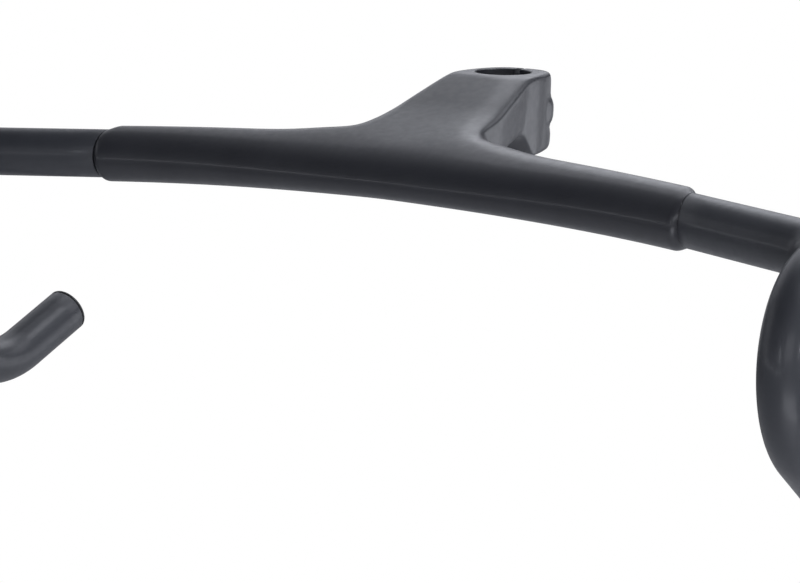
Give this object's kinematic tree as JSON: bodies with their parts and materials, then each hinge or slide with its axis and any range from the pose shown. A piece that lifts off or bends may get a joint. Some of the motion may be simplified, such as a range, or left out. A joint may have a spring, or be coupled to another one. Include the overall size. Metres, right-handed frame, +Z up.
{
  "type": "integrated handlebar stem",
  "caption": "One-piece road stem and wing-shaped drop handlebar with a split steerer clamp, side pinch bolts, curved drops and expanding bar-end plugs.",
  "frame": {"origin": "on the steerer axis, at the clamp's lower face", "axes": "+Z up along the steerer axis, -Y forward, +X towards the rider's left"},
  "size_m": [0.5108, 0.2319, 0.1737],
  "materials": {
    "matte_carbon": "matte black moulded carbon composite",
    "satin_carbon": "satin clear-coated black carbon composite",
    "adhesive": "black epoxy",
    "black_steel": "black oxide",
    "steel": "plain",
    "brass": "turned",
    "plug_plastic": "moulded",
    "rubber": "plain"
  },
  "bodies": {
    "bar": {"center_section": "matte_carbon", "left_drop": "satin_carbon", "right_drop": "satin_carbon", "left_bond_sleeve": "adhesive", "right_bond_sleeve": "adhesive", "upper_clamp_insert": "brass", "lower_clamp_insert": "brass"},
    "upper_washer": {"upper_clamp_washer": "steel"},
    "upper_bolt": {"upper_clamp_bolt": "black_steel"},
    "lower_washer": {"lower_clamp_washer": "steel"},
    "lower_bolt": {"lower_clamp_bolt": "black_steel"},
    "left_plug": {"left_plug_cap": "plug_plastic", "left_plug_expander": "rubber"},
    "left_screw": {"left_plug_screw": "black_steel"},
    "left_nut": {"left_plug_wedge_nut": "brass"},
    "right_plug": {"right_plug_cap": "plug_plastic", "right_plug_expander": "rubber"},
    "right_screw": {"right_plug_screw": "black_steel"},
    "right_nut": {"right_plug_wedge_nut": "brass"}
  },
  "joints": [
    {"name": "upper_washer_slide", "type": "slide", "parent": "bar", "child": "upper_washer", "axis": [-1, 0, 0], "range_m": [0, 0.004]},
    {"name": "upper_bolt_turn", "type": "hinge", "parent": "upper_washer", "child": "upper_bolt", "pos_m": [-0.0101, 0.02, 0.0198], "axis": [-1, 0, 0], "range_deg": [0, 1800]},
    {"name": "lower_washer_slide", "type": "slide", "parent": "bar", "child": "lower_washer", "axis": [-1, 0, 0], "range_m": [0, 0.004]},
    {"name": "lower_bolt_turn", "type": "hinge", "parent": "lower_washer", "child": "lower_bolt", "pos_m": [-0.0101, 0.02, 0.0058], "axis": [-1, 0, 0], "range_deg": [0, 1800]},
    {"name": "left_plug_pull", "type": "slide", "parent": "bar", "child": "left_plug", "axis": [-0.0204, 0.9287, 0.3703], "range_m": [0, 0.034]},
    {"name": "left_screw_turn", "type": "hinge", "parent": "left_plug", "child": "left_screw", "pos_m": [0.24252, -0.051, -0.104], "axis": [-0.0204, 0.9287, 0.3703], "range_deg": [0, 1440]},
    {"name": "left_nut_slide", "type": "slide", "parent": "left_plug", "child": "left_nut", "axis": [0.0204, -0.9287, -0.3703], "range_m": [0, 0.0032]},
    {"name": "right_plug_pull", "type": "slide", "parent": "bar", "child": "right_plug", "axis": [0.0204, 0.9287, 0.3703], "range_m": [0, 0.034]},
    {"name": "right_screw_turn", "type": "hinge", "parent": "right_plug", "child": "right_screw", "pos_m": [-0.24252, -0.051, -0.104], "axis": [0.0204, 0.9287, 0.3703], "range_deg": [0, 1440]},
    {"name": "right_nut_slide", "type": "slide", "parent": "right_plug", "child": "right_nut", "axis": [-0.0204, -0.9287, -0.3703], "range_m": [0, 0.0032]}
  ],
  "couplings": [
    {"joint": "upper_bolt_turn", "follows": "upper_washer_slide", "rad_per_m": 7854},
    {"joint": "lower_bolt_turn", "follows": "lower_washer_slide", "rad_per_m": 7854},
    {"joint": "left_screw_turn", "follows": "left_nut_slide", "rad_per_m": 7854},
    {"joint": "right_screw_turn", "follows": "right_nut_slide", "rad_per_m": 7854}
  ]
}
